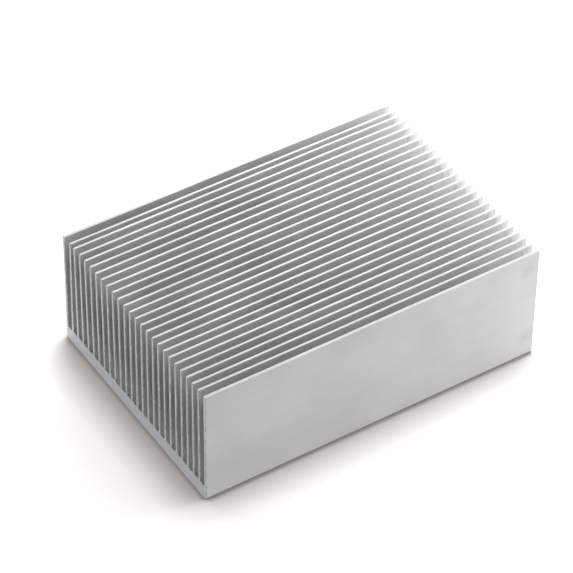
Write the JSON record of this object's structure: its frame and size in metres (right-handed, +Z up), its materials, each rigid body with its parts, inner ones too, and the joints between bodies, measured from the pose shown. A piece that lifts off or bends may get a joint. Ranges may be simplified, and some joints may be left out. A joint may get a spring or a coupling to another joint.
{
  "type": "heat sink",
  "caption": "Extruded aluminium heat sink: a flat rectangular base plate with a comb of thin, tall, closely spaced straight fins running its full length between two plain sawn ends.",
  "frame": {"origin": "centre of the base's flat underside", "axes": "+X along the fins, which is the extrusion direction; +Y across the fins; +Z up from the base to the fin tips"},
  "size_m": [0.1, 0.0694, 0.0355],
  "materials": {
    "aluminium": "satin mill finish as extruded, with faint die lines along the fins and saw-cut ends"
  },
  "bodies": {
    "root": {"heat_sink": "aluminium"}
  },
  "joints": []
}
